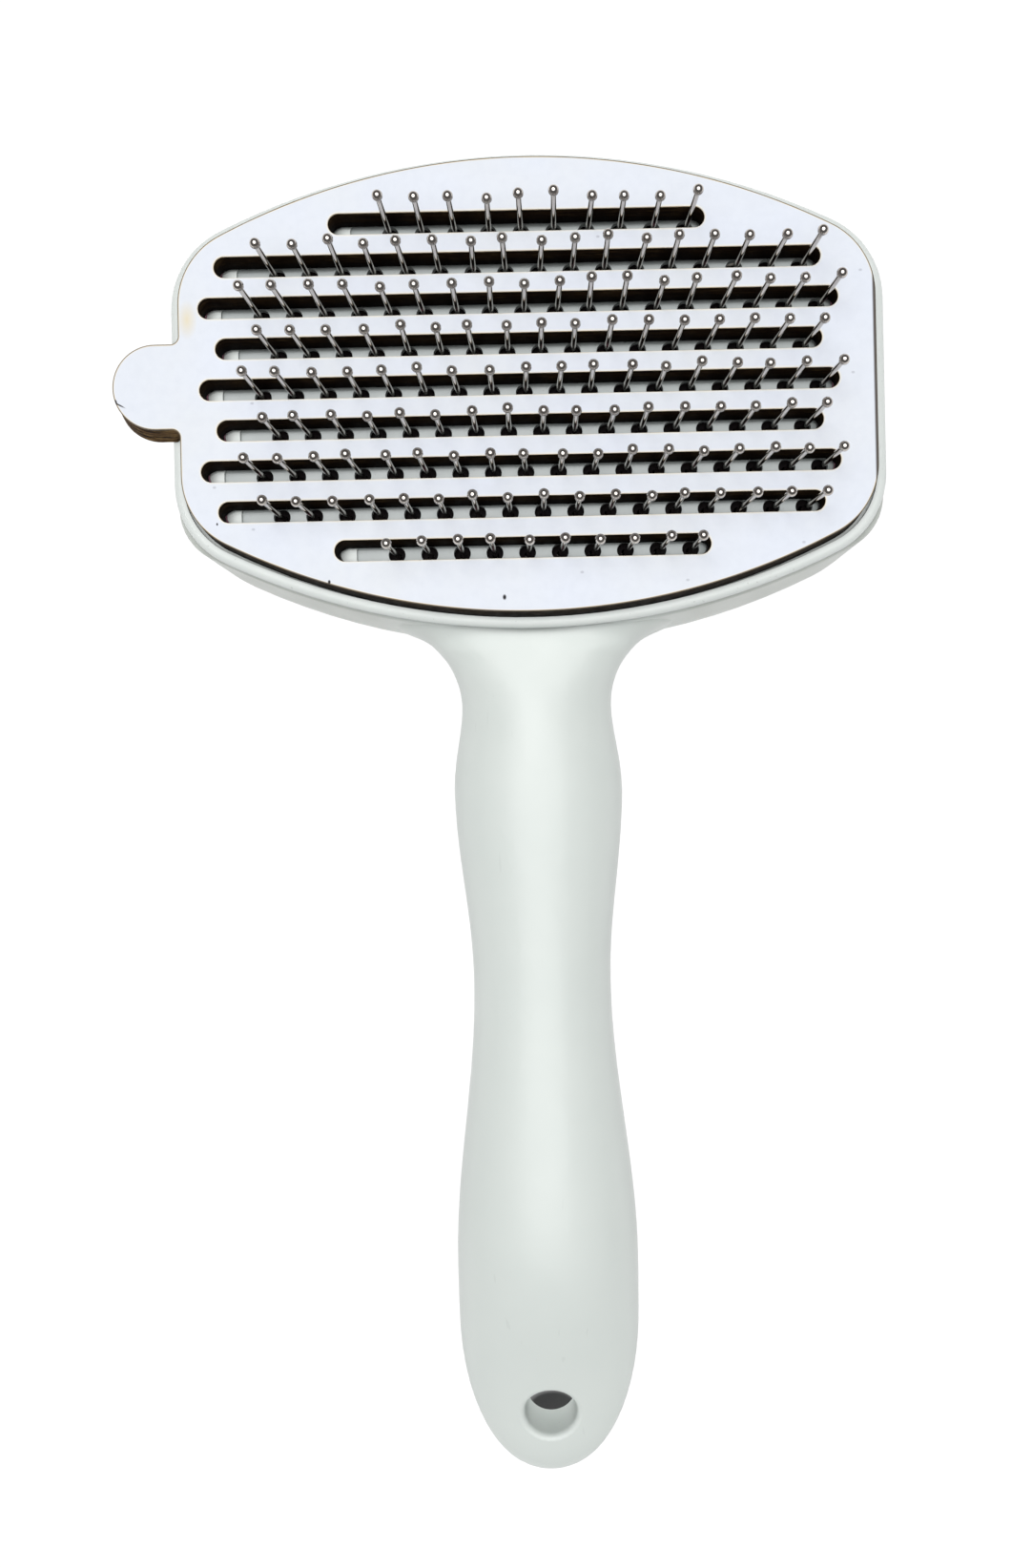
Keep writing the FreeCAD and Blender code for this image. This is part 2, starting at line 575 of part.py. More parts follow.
def return_springs():
    """Four coil springs round the posts, between the carrier and the pin board."""
    low = CARRIER_Z + CARRIER_THICKNESS + SPRING_WIRE_R + SPRING_END_GAP
    high = PIN_BOARD_Z - SPRING_WIRE_R - SPRING_END_GAP
    pitch = (high - low) / SPRING_TURNS
    coil = Part.makeHelix(pitch, high - low, SPRING_MEAN_R)
    section = Part.Wire([Part.makeCircle(SPRING_WIRE_R, V(SPRING_MEAN_R, 0, 0), V(0, 1, 0))])
    spring = Part.Wire(coil).makePipeShell([section], True, True)
    springs = []
    for x, y in mirrored_four(POST_X, POST_Y):
        copy = spring.copy()
        copy.translate(V(x, y, low))
        springs.append(copy)
    return Part.makeCompound(springs)


# ---- lift-off board -----------------------------------------------------------------------
def board_sheet(low, high):
    """Board outline with its thumb tab and nine slots."""
    sheet = barrel(BOARD_OUTLINE, low, high)
    edge_x = -BOARD_OUTLINE[0]
    tab_y = HEAD_Y + TAB_Y
    centre_x = edge_x - TAB_REACH + TAB_R
    root = TAB_R + TAB_ROOT_R
    foot_x = edge_x - TAB_ROOT_R
    inner_x = edge_x + TAB_OVERLAP
    tab = disc(centre_x, tab_y, TAB_R, low, high)
    neck = Part.makeBox(inner_x - centre_x, 2 * TAB_R, high - low, V(centre_x, tab_y - TAB_R, low))
    foot = Part.makeBox(inner_x - foot_x, 2 * root, high - low, V(foot_x, tab_y - root, low))
    hollows = [disc(foot_x, tab_y + side * root, TAB_ROOT_R, low - PAST, high + PAST) for side in (-1, 1)]
    sheet = sheet.fuse([tab, neck, foot.cut(hollows)]).removeSplitter()
    return sheet.cut(slot_prisms(low - PAST, high + PAST, 0.0))


def slot_prisms(low, high, inset):
    """The nine slots, made narrower all round by inset."""
    prisms = []
    for row, length in enumerate(SLOT_LENGTHS):
        half_width_here = SLOT_HALF_WIDTH - inset
        prisms.append(slot_prism(SLOT_SHIFT_X, row_y(row), length - 2 * inset, half_width_here, low, high))
    return prisms


def lift_board_backing():
    """Thin backing sheet under the board, without the tab."""
    low = FIELD_Z + LIFT_GAP
    sheet = barrel(BOARD_OUTLINE, low, low + BACKING_THICKNESS, 0.1)
    return sheet.cut(slot_prisms(low - PAST, low + BACKING_THICKNESS + PAST, BACKING_LEDGE))


def lift_board_core():
    """Laser-cut core of the board."""
    low = FIELD_Z + LIFT_GAP + BACKING_THICKNESS
    return board_sheet(low, low + CORE_THICKNESS)


def lift_board_facing():
    """White sheet on top of the core."""
    low = FIELD_Z + LIFT_GAP + BACKING_THICKNESS + CORE_THICKNESS
    return board_sheet(low, low + FACING_THICKNESS)


# ---- output -------------------------------------------------------------------------------
def save(name, shape):
    """Write one node, and say so if its solids are not sound."""
    if not shape.isValid():
        print("not valid:", name)
    shape.exportStep(os.path.join("parts", name + ".step"))
    print(f"{name}: {len(shape.Solids)} solids, {shape.Volume:.0f} mm3")


def main():
    os.makedirs("parts", exist_ok=True)
    nodes = {
        "front_housing": front_housing(),
        "rear_housing": rear_housing(),
        "housing_screws": housing_screws(),
        "pin_board": pin_board(),
        "pin_retainer": pin_retainer(),
        "pin_board_screws": pin_board_screws(),
        "guide_bushes": guide_bushes(),
        "face_plate": face_plate(),
        "ejector_carrier": ejector_carrier(),
        "push_button": push_button(),
        "carrier_screws": carrier_screws(),
        "return_springs": return_springs(),
        "lift_board_backing": lift_board_backing(),
        "lift_board_core": lift_board_core(),
        "lift_board_facing": lift_board_facing(),
    }
    for row in range(len(ROW_COUNTS)):
        nodes[f"pin_row_{row + 1}"] = pin_row(row)
    for name, shape in nodes.items():
        save(name, shape)


main()
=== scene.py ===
import math
import random

import bmesh
import bpy
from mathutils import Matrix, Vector, noise


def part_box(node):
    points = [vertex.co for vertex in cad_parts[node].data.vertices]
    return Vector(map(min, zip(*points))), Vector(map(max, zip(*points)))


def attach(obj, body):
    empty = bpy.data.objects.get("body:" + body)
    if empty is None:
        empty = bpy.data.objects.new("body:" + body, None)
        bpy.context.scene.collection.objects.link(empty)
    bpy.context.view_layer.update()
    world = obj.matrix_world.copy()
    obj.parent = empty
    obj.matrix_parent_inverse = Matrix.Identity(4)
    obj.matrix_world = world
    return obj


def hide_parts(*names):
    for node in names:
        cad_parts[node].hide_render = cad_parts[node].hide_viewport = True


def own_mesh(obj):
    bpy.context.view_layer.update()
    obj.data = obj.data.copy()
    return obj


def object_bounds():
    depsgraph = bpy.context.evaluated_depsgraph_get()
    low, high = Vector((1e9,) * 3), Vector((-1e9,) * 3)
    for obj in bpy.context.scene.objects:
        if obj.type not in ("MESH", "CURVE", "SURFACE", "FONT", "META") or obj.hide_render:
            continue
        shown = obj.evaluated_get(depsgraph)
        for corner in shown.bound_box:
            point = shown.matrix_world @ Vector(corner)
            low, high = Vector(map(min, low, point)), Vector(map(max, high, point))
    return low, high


# Looks of the slicker brush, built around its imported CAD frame.
# Lengths are in metres. +Y runs up the handle to the head, and +Z is the way the pins point.

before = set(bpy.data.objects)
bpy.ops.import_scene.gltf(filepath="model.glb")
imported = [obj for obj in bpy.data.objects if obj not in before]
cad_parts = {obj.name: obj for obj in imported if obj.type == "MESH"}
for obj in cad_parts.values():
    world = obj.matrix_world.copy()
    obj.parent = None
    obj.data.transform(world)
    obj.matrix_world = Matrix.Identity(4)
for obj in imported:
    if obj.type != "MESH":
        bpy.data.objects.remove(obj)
CAD_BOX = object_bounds()

MM = 0.001

# ---- places from the frame ------------------------------------------------------------------
board_low, board_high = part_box("lift_board_facing")
core_low, core_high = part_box("lift_board_core")
backing_low, backing_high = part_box("lift_board_backing")
pin_board_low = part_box("pin_board")[0]
plate_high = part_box("face_plate")[1]
spring_low, spring_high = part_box("return_springs")
REST_Z = CAD_BOX[0].z
HEAD_Y = (board_low.y + board_high.y) / 2
BOARD_HALF_X = board_high.x
BOARD_HALF_Y = (board_high.y - board_low.y) / 2
TAB_REACH = -board_low.x - BOARD_HALF_X

# ---- sizes shared with the CAD source -------------------------------------------------------
BOARD_ARC_R = 101.6 * MM
BOARD_CORNER_R = 11.6 * MM
TAB_R = 6.4 * MM
TAB_Y = 0.6 * MM
TAB_ROOT_R = 1.2 * MM
SLOT_HALF_WIDTH = 1.6 * MM
SLOT_SHIFT_X = -1.3 * MM
SLOT_LENGTHS = [length * MM for length in (56.5, 91, 96, 91, 96, 91, 96, 91, 56.5)]
BACKING_LEDGE = 0.32 * MM
ROW_PITCH = 6.12 * MM
ROW_COUNTS = (10, 17, 18, 17, 18, 17, 18, 17, 10)
PIN_PITCH = 5.0 * MM
PIN_SHIFT = Vector((1.8 * MM, -0.1 * MM))
PIN_WIRE_R = 0.4 * MM
PIN_BALL_R = 0.78 * MM
PIN_HEAD_R = 0.9 * MM
PIN_HEAD_THICKNESS = 0.5 * MM
SPRING_MEAN_R = 3.0 * MM
SPRING_WIRE_R = 0.25 * MM
SPRING_TURNS = 5

# ---- sizes of the visual pieces alone -------------------------------------------------------
PIN_TIP_Z = 23.4 * MM          # centres of the balls, lower than in the CAD and nearer the photo
PIN_LEAN = Vector((0.35 * MM, -0.25 * MM, 0.0))
PIN_FAN = 0.012                # outer pins stand outwards by this share of their distance from the middle
PIN_SPREAD = Vector((0.38 * MM, 0.2 * MM, 0.9 * MM))
PIN_LEAN_MOST = 0.85 * MM      # a tip that leans more would foul its hole when the face plate is pushed out
PIN_SEED = 11
PIN_SIDES = 20
BALL_STEPS = 12
SPRING_STEPS_PER_TURN = 28
SPRING_SIDES = 8

BACKING_INSET = 0.1 * MM       # the backing's outline stands this far inside the core's
OUTLINE_STEP = 0.6 * MM
SLOT_END_STEP = 0.25 * MM
TAB_ROOT_STEP = 0.2 * MM
SLOT_WALL_LEAN = 0.78 * MM     # the cut walls that face the handle lean out by this much at the bottom
SLOT_END_LEAN = 0.3 * MM
RIM_WALL_LEAN = 0.6 * MM
TAB_WALL_LEAN = 1.1 * MM
CORE_LEVELS = 9
CORE_WOBBLE = 0.03 * MM
CORE_SET_BACK = 0.05 * MM      # keeps the uneven walls inside the facing's outline
FACE_ROUNDING = 0.05 * MM
EDGE_RINGS = (0.06, 0.22, 0.55, 1.1)       # millimetres in from a cut edge, on the board's face
SHARP_EDGE = math.radians(38)

# Specks on the board's face, in millimetres: place and, for the dark ones, radius.
DARK_SPECKS = ((-4.2, 128.6, 0.42), (-30.4, 131.4, 0.32), (-47.0, 140.4, 0.22), (44.4, 170.1, 0.15))
FAINT_SPECKS = (
    (-41.4, 158.4), (-41.6, 139.5), (-47.3, 145.9),
    (48.7, 161.2), (50.1, 176.5), (10.9, 182.3),
    (23.3, 130.6), (40.8, 135.9), (7.5, 132.1),
)
FAINT_SPECK_R = 0.25 * MM

# ---- stage ----------------------------------------------------------------------------------
AIM = Vector((0, HEAD_Y / 2, 0))
CEILING_PLACE = Vector((-0.01, 0.13, 1.3))
CEILING_SIZE = 1.6
CEILING_WATTS = 19
SOFTBOX_PLACE = Vector((-0.08, 0.27, 0.5))
SOFTBOX_SIZE = 0.2
SOFTBOX_WATTS = 0.4
WORLD_TINT = (0.5, 0.5, 0.51, 1)
WORLD_STRENGTH = 0.3
CAMERA_PLACE = Vector((3.32 * MM, 105.73 * MM, 185 * MM))
CAMERA_TURN = math.radians(-1.2)
CAMERA_LENS = 26.06
CAMERA_SENSOR = 36
CAMERA_SHIFT_X = -0.03345
CAMERA_SHIFT_Y = -0.0225
FLOOR_RADII = (0.02, 0.5, 2.0, 6.0)
FLOOR_SIDES = 64
FLOOR_GLOW = 0.96


# ---- materials ------------------------------------------------------------------------------
def colour(red, green, blue):
    """Display colour, 0 to 255, as the linear colour that a shader takes."""
    linear = []
    for value in (red, green, blue):
        share = value / 255
        linear.append(share / 12.92 if share <= 0.04045 else ((share + 0.055) / 1.055) ** 2.4)
    return (*linear, 1.0)


SHELL_WHITE = colour(215, 221, 217)
SHELL_MOTTLE = colour(208, 215, 211)
SHELL_SCRATCH = colour(190, 196, 192)
SHELL_SEAM = colour(120, 128, 124)
# Painted shade for the sides of the head.
SHELL_SIDE_SHADE = colour(176, 178, 168)
# Painted shade for corners and grooves.
PAINTED_CORNER_SHADE = colour(104, 110, 106)
PLATE_WHITE = colour(220, 225, 222)
PLATE_MOTTLE = colour(210, 216, 213)
# Painted shade in the face plate's channel bottoms.
CHANNEL_SHADE = colour(150, 158, 160)
PLATE_FLECK = colour(150, 150, 146)
FACING_WHITE = colour(222, 227, 237)
FACING_CLOUD = colour(225, 228, 230)
FACING_MOTTLE = colour(208, 213, 223)
CREAM = colour(240, 235, 220)
TAN = colour(236, 214, 172)
# Laser burn; also used as painted shade in the gap along the board's right edge.
BURN_AND_SHADE = colour(52, 40, 32)
SPECK = colour(24, 20, 26)
FAINT_SPECK = colour(110, 108, 122)
# Painted shade for creases.
SCORCH = colour(226, 204, 138)
CREASE_SHADE = colour(40, 34, 34)
BOARD_BROWN = colour(96, 72, 46)
BOARD_LAYER = colour(40, 27, 17)
BOARD_FIBRE = colour(134, 108, 70)
CHAR = colour(22, 14, 9)
# Char, also used as painted shade low on the cut walls.
DEEP_CHAR_AND_SHADE = colour(3, 2, 2)
ROSE = colour(126, 70, 90)
DARK_ROSE = colour(96, 46, 62)
# Char and painted shade on the backing sheet.
CHARRED_AND_SHADED_ROSE = colour(14, 9, 9)
FLOOR_GREY = colour(92, 92, 92)
FLOOR_CLOUD = colour(88, 89, 90)


class Material:
    """A procedural material under construction."""

    def __init__(self, name, base, roughness, metallic=0.0, specular=0.5):
        self.made = bpy.data.materials.new(name)
        self.made.use_nodes = True
        self.tree = self.made.node_tree
        self.shader = self.tree.nodes["Principled BSDF"]
        self.shader.inputs["Base Color"].default_value = base
        self.shader.inputs["Roughness"].default_value = roughness
        self.shader.inputs["Metallic"].default_value = metallic
        self.shader.inputs["Specular IOR Level"].default_value = specular
        self.place = self.tree.nodes.new("ShaderNodeTexCoord").outputs["Object"]
        self.base = base
        self.bump_normal = None

    def node(self, kind, **settings):
        """Adds a node with its settings."""
        made = self.tree.nodes.new(kind)
        for name, value in settings.items():
            setattr(made, name, value)
        return made

    def link(self, source, socket):
        """Feeds one socket from another."""
        self.tree.links.new(source, socket)

    def stretched(self, x, y, z):
        """Object coordinates, each stretched by its own factor."""
        mapping = self.node("ShaderNodeMapping")
        mapping.inputs["Scale"].default_value = (x, y, z)
        self.link(self.place, mapping.inputs["Vector"])
        return mapping.outputs["Vector"]

    def noise(self, size, detail=3.0, roughness=0.55, place=None):
        """Noise with features of that size, in metres."""
        made = self.node("ShaderNodeTexNoise")
        made.inputs["Scale"].default_value = 1 / size
        made.inputs["Detail"].default_value = detail
        made.inputs["Roughness"].default_value = roughness
        self.link(place or self.place, made.inputs["Vector"])
        return made.outputs["Fac"]

    def remap(self, value, low, high, to_low=0.0, to_high=1.0):
        """Carries low to high over to to_low to to_high, held at both ends."""
        made = self.node("ShaderNodeMapRange")
        made.inputs["From Min"].default_value = low
        made.inputs["From Max"].default_value = high
        made.inputs["To Min"].default_value = to_low
        made.inputs["To Max"].default_value = to_high
        self.link(value, made.inputs["Value"])
        return made.outputs["Result"]

    def multiply(self, first, second):
        """Both amounts multiplied."""
        made = self.node("ShaderNodeMath", operation="MULTIPLY")
        self.link(first, made.inputs[0])
        self.link(second, made.inputs[1])
        return made.outputs[0]

    def attribute(self, name):
        """A value that the mesh carries at its vertices."""
        return self.node("ShaderNodeAttribute", attribute_name=name).outputs["Fac"]

    def axis(self, letter):
        """One object coordinate, in metres."""
        split = self.node("ShaderNodeSeparateXYZ")
        self.link(self.place, split.inputs[0])
        return split.outputs[letter]

    def paint(self, amount, tint):
        """Mixes a colour over what is there, by an amount from 0 to 1."""
        mix = self.node("ShaderNodeMix", data_type="RGBA")
        if isinstance(self.base, tuple):
            mix.inputs["A"].default_value = self.base
        else:
            self.link(self.base, mix.inputs["A"])
        mix.inputs["B"].default_value = tint
        self.link(amount, mix.inputs["Factor"])
        self.base = mix.outputs["Result"]
        self.link(self.base, self.shader.inputs["Base Color"])

    def bump(self, height, distance, strength=1.0):
        """Adds relief over what is there."""
        made = self.node("ShaderNodeBump")
        made.inputs["Strength"].default_value = strength
        made.inputs["Distance"].default_value = distance
        self.link(height, made.inputs["Height"])
        if self.bump_normal is not None:
            self.link(self.bump_normal, made.inputs["Normal"])
        self.bump_normal = made.outputs["Normal"]
        self.link(self.bump_normal, self.shader.inputs["Normal"])

    def vary_roughness(self, value, low, high):
        """Roughness that follows a noise, from low to high."""
        self.link(self.remap(value, 0.3, 0.7, low, high), self.shader.inputs["Roughness"])


def spot(material, x, y, reach, width, turn=0.0, softness=0.5):
    """One inside an oval on a level surface and nothing outside it."""
    oval = material.node("ShaderNodeMapping", vector_type="TEXTURE")
    oval.inputs["Location"].default_value = (x, y, 0)
    oval.inputs["Rotation"].default_value = (0, 0, math.radians(turn))
    oval.inputs["Scale"].default_value = (reach, width, 1.0)
    material.link(material.place, oval.inputs["Vector"])
    distance = material.node("ShaderNodeVectorMath", operation="LENGTH")
    material.link(oval.outputs["Vector"], distance.inputs[0])
    return material.remap(distance.outputs["Value"], 1.0, 1.0 - softness)


def larger(material, first, second):
    """The larger of two amounts."""
    made = material.node("ShaderNodeMath", operation="MAXIMUM")
    material.link(first, made.inputs[0])
    material.link(second, made.inputs[1])
    return made.outputs[0]


def off_centre(material, letter):
    """Distance from the middle plane across one axis, in metres."""
    distance = material.node("ShaderNodeMath", operation="ABSOLUTE")
    material.link(material.axis(letter), distance.inputs[0])
    return distance.outputs[0]


def seam_line(material, half_width):
    """One close to the plane where the two shells meet, and nothing elsewhere."""
    return material.remap(off_centre(material, "Z"), half_width, 0.4 * half_width)


def paint_corner_shade(material, distance, amount):
    """Painted shade where faces meet, such as the groove beside the bead, from an ambient occlusion node."""
    corners = material.node("ShaderNodeAmbientOcclusion", samples=12)
    corners.inputs["Distance"].default_value = distance
    material.paint(material.remap(corners.outputs["AO"], 0.85, 0.3, 0.0, amount), PAINTED_CORNER_SHADE)


def shell_plastic():
    """Satin off-white moulding: faint mottling, scuffs, the parting line, painted shade on the sides of the
    head and painted shade in corners.
    """
    made = Material("white_shell", SHELL_WHITE, 0.38)
    made.paint(made.remap(made.noise(14 * MM), 0.35, 0.7, 0.0, 0.35), SHELL_MOTTLE)
    scratch_place = made.stretched(1.0, 0.09, 1.0)
    scratches = made.remap(made.noise(0.9 * MM, 1.0, place=scratch_place), 0.735, 0.76)
    patches = made.remap(made.noise(9 * MM, 1.0), 0.52, 0.6)
    made.paint(made.multiply(made.remap(scratches, 0.0, 1.0, 0.0, 0.22), patches), SHELL_SCRATCH)
    outside = made.node("ShaderNodeVectorMath", operation="LENGTH")
    made.link(made.place, outside.inputs[0])
    away_from_hole = made.remap(outside.outputs["Value"], 6 * MM, 6.5 * MM, 0.0, 0.5)
    made.paint(made.multiply(seam_line(made, 0.09 * MM), away_from_hole), SHELL_SEAM)
    # Painted shade: the sides of the head beside the neck are made darker.
    beside_neck = made.remap(off_centre(made, "X"), 14 * MM, 26 * MM)
    head_side_shade = made.remap(made.axis("Y"), 121 * MM, 127 * MM, 0.0, 0.45)
    made.paint(made.multiply(beside_neck, head_side_shade), SHELL_SIDE_SHADE)
    paint_corner_shade(made, 5 * MM, 0.55)
    made.vary_roughness(made.noise(6 * MM), 0.31, 0.42)
    made.bump(made.noise(0.35 * MM, 2.0), 0.006 * MM, 0.5)
    return made.made


def plate_plastic():
    """The face plate: a brighter white, with painted shade in the bottom of each channel."""
    made = Material("white_plate", PLATE_WHITE, 0.33)
    made.paint(made.remap(made.noise(11 * MM), 0.4, 0.7, 0.0, 0.3), PLATE_MOTTLE)
    # Painted shade: darker the deeper the surface lies in a channel.
    channel_shade = made.remap(made.axis("Z"), plate_high.z - 0.7 * MM, plate_high.z - 0.95 * MM, 0.0, 0.6)
    made.paint(channel_shade, CHANNEL_SHADE)
    made.paint(made.remap(made.noise(0.5 * MM, 1.0), 0.72, 0.76, 0.0, 0.35), PLATE_FLECK)
    paint_corner_shade(made, 1.5 * MM, 0.6)
    made.vary_roughness(made.noise(4 * MM), 0.28, 0.4)
    made.bump(made.noise(0.3 * MM, 2.0), 0.005 * MM, 0.5)
    return made.made


def matt_plastic(name, base, darker, roughness, specular=0.5):
    """Plain moulding with soft mottling and a fine sparked texture."""
    made = Material(name, base, roughness, specular=specular)
    made.paint(made.remap(made.noise(7 * MM), 0.35, 0.7, 0.0, 0.6), darker)
    made.vary_roughness(made.noise(3 * MM), roughness - 0.05, roughness + 0.08)
    made.bump(made.noise(0.25 * MM, 2.0), 0.012 * MM, 0.7)
    return made.made


def metal(name, base, darker, low, high, grain):
    """Metal with faint tarnish and fine drawn or plated grain."""
    made = Material(name, base, low, metallic=1.0)
    made.paint(made.remap(made.noise(2.2 * MM), 0.4, 0.75, 0.0, 0.6), darker)
    made.vary_roughness(made.noise(1.1 * MM), low, high)
    made.bump(made.noise(grain, 2.0), 0.002 * MM, 0.5)
    return made.made


def board_face():
    """Smooth white facing: faint mottling, a charred edge with a cream halo, a dark strip along the right
    edge that is partly char and partly painted shade of the gap beside it, specks, a scorch and painted
    shade in a crease.
    """
    made = Material("board_facing", FACING_WHITE, 0.55, specular=0.25)
    made.paint(made.remap(made.noise(16 * MM), 0.35, 0.7, 0.0, 0.55), FACING_CLOUD)
    made.paint(made.remap(made.noise(1.4 * MM, 4.0), 0.4, 0.72, 0.0, 0.22), FACING_MOTTLE)
    edge = made.attribute("cut")
    uneven = made.remap(made.noise(5 * MM), 0.3, 0.7, 0.45, 1.0)
    made.paint(made.multiply(made.remap(edge, 0.65, 1.0, 0.0, 0.9), uneven), CREAM)
    made.paint(made.multiply(made.remap(edge, 0.93, 1.0), uneven), TAN)
    # Painted shade with burn: a dark strip along the right edge, for the charred edge and the shadowed gap
    # beside the board.
    right_edge_burn_and_shade = made.remap(made.axis("X"), BOARD_HALF_X - 0.55 * MM, BOARD_HALF_X - 0.35 * MM, 0.0, 0.9)
    made.paint(right_edge_burn_and_shade, BURN_AND_SHADE)
    made.paint(made.remap(edge, 1.0, 1.6, 0.0, 0.85), BURN_AND_SHADE)
    for x, y, size in DARK_SPECKS:
        r = size * MM
        made.paint(spot(made, x * MM, y * MM, 0.8 * r, 1.2 * r), SPECK)
    for x, y in FAINT_SPECKS:
        mark = spot(made, x * MM, y * MM, 1.4 * FAINT_SPECK_R, FAINT_SPECK_R)
        made.paint(made.remap(mark, 0.0, 1.0, 0.0, 0.3), FAINT_SPECK)
    scorch_y = HEAD_Y + TAB_Y + TAB_R + 3.6 * MM
    scorch = spot(made, -BOARD_HALF_X + 1.4 * MM, scorch_y, 1.6 * MM, 3.0 * MM, softness=1.0)
    made.paint(made.remap(scorch, 0.0, 1.0, 0.0, 0.55), SCORCH)
    tab_tip = -BOARD_HALF_X - TAB_REACH
    # Painted shade: two dark lines where the facing is creased near the tab's tip.
    long_crease_shade = spot(made, tab_tip + 0.9 * MM, HEAD_Y - 1.9 * MM, 1.3 * MM, 0.14 * MM, -28)
    short_crease_shade = spot(made, tab_tip + 0.5 * MM, HEAD_Y - 1.5 * MM, 0.5 * MM, 0.2 * MM, -75)
    made.paint(long_crease_shade, CREASE_SHADE)
    made.paint(short_crease_shade, CREASE_SHADE)
    made.vary_roughness(made.noise(8 * MM), 0.5, 0.62)
    made.bump(made.noise(0.4 * MM, 3.0), 0.004 * MM, 0.6)
    return made.made


def burnt_board():
    """Laser-cut edge of pressed board: brown layers, charred nearly black inside the slots, and darker
    towards the bottom of the cut walls, partly char and partly painted shade.
    """
    made = Material("board_core", BOARD_BROWN, 0.75, specular=0.05)
    layers = made.noise(1.6 * MM, 4.0, 0.6, made.stretched(0.16, 0.16, 3.6))
    made.paint(made.remap(layers, 0.46, 0.55), BOARD_LAYER)
    fibres = made.noise(0.9 * MM, 3.0, 0.6, made.stretched(0.3, 0.3, 4.0))
    made.paint(made.remap(fibres, 0.53, 0.62), BOARD_FIBRE)
    char = made.attribute("char")
    cloudy = made.remap(made.noise(3.5 * MM, 3.0), 0.3, 0.7, 0.8, 1.0)
    made.paint(made.multiply(char, cloudy), CHAR)
    # Painted shade with char: the charred walls grow darker towards their bottom.
    wall_char_and_shade_depth = made.remap(made.axis("Z"), core_high.z - 0.6 * MM, core_low.z + 0.4 * MM, 0.0, 0.95)
    made.paint(made.multiply(wall_char_and_shade_depth, char), DEEP_CHAR_AND_SHADE)
    made.vary_roughness(made.noise(1.2 * MM), 0.5, 0.75)
    made.bump(layers, 0.05 * MM, 0.7)
    made.bump(made.noise(0.25 * MM, 2.0, 0.5, made.stretched(1.0, 1.0, 0.1)), 0.03 * MM, 0.6)
    return made.made


def backing_sheet():
    """Thin rose sheet under the board, made near black along the middle of the slots, partly charred and
    partly painted shade; the rose shows towards the slot ends.
    """
    made = Material("board_backing", ROSE, 0.6)
    made.paint(made.remap(made.noise(2.5 * MM, 3.0), 0.35, 0.7, 0.0, 0.7), DARK_ROSE)
    # Painted shade with char: the sheet is made near black except near the slot ends.
    backing_char_and_shade = made.remap(made.noise(3.2 * MM, 2.0), 0.3, 0.42, 0.0, 0.97)
    inside = made.remap(off_centre(made, "X"), 46.6 * MM, 45.2 * MM)
    made.paint(made.multiply(backing_char_and_shade, inside), CHARRED_AND_SHADED_ROSE)
    made.bump(made.noise(0.3 * MM, 2.0), 0.02 * MM, 0.6)
    return made.made


def floor_paint():
    """Floor that glows white, so that no shadow shows beside the brush, and is shaded right under it."""
    made = Material("floor", FLOOR_GREY, 0.9, specular=0.0)
    made.shader.inputs["Emission Color"].default_value = (1, 1, 1, 1)
    under_head = spot(made, 0, HEAD_Y + 3 * MM, 56 * MM, 37 * MM, softness=0.45)
    under_handle = spot(made, 0, 60 * MM, 12 * MM, 68 * MM, softness=0.6)
    under_end = spot(made, 0, -8.3 * MM, 9 * MM, 5.5 * MM, softness=0.6)
    under_brush = made.remap(larger(made, under_head, under_handle), 0.0, 1.0, 0.0, 0.7)
    shade = larger(made, under_brush, under_end)
    made.paint(made.remap(made.noise(0.4), 0.3, 0.7, 0.0, 0.3), FLOOR_CLOUD)
    made.link(made.remap(shade, 0.0, 1.0, FLOOR_GLOW, 0.0), made.shader.inputs["Emission Strength"])
    return made.made


# ---- meshes ---------------------------------------------------------------------------------
def finish_mesh(name, bm, material, body, slot, *nodes):
    """Turns a bmesh into a piece that rides on a body and stands for some CAD nodes."""
    bmesh.ops.recalc_face_normals(bm, faces=bm.faces)
    mesh = bpy.data.meshes.new(name)
    bm.to_mesh(mesh)
    bm.free()
    for face in mesh.polygons:
        face.use_smooth = True
    mesh.set_sharp_from_angle(angle=SHARP_EDGE)
    mesh.materials.append(material)
    piece = bpy.data.objects.new(name, mesh)
    bpy.context.scene.collection.objects.link(piece)
    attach(piece, body)
    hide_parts(*nodes)
    return piece


def arc(centre, r, start, stop, step=OUTLINE_STEP):
    """Points along an arc, ends included. Angles in degrees."""
    count = max(3, round(abs(math.radians(stop - start)) * r / step))
    points = []
    for index in range(count + 1):
        turn = math.radians(start + (stop - start) * index / count)
        points.append(Vector((centre[0] + r * math.cos(turn), centre[1] + r * math.sin(turn))))
    return points


def line(start, stop, step=OUTLINE_STEP):
    """Points along a straight run, without its ends."""
    count = max(2, round((Vector(stop) - Vector(start)).length / step))
    return [Vector(start).lerp(Vector(stop), index / count) for index in range(1, count)]


def barrel_corner():
    """Centre of a corner arc, seen from the board's centre, and where the long arc's centre lies."""
    arc_y = BOARD_HALF_Y - BOARD_ARC_R
    corner_x = BOARD_HALF_X - BOARD_CORNER_R
    corner_y = arc_y + math.sqrt((BOARD_ARC_R - BOARD_CORNER_R) ** 2 - corner_x ** 2)
    lean = math.degrees(math.atan2(corner_y - arc_y, corner_x))
    return corner_x, corner_y, arc_y, lean


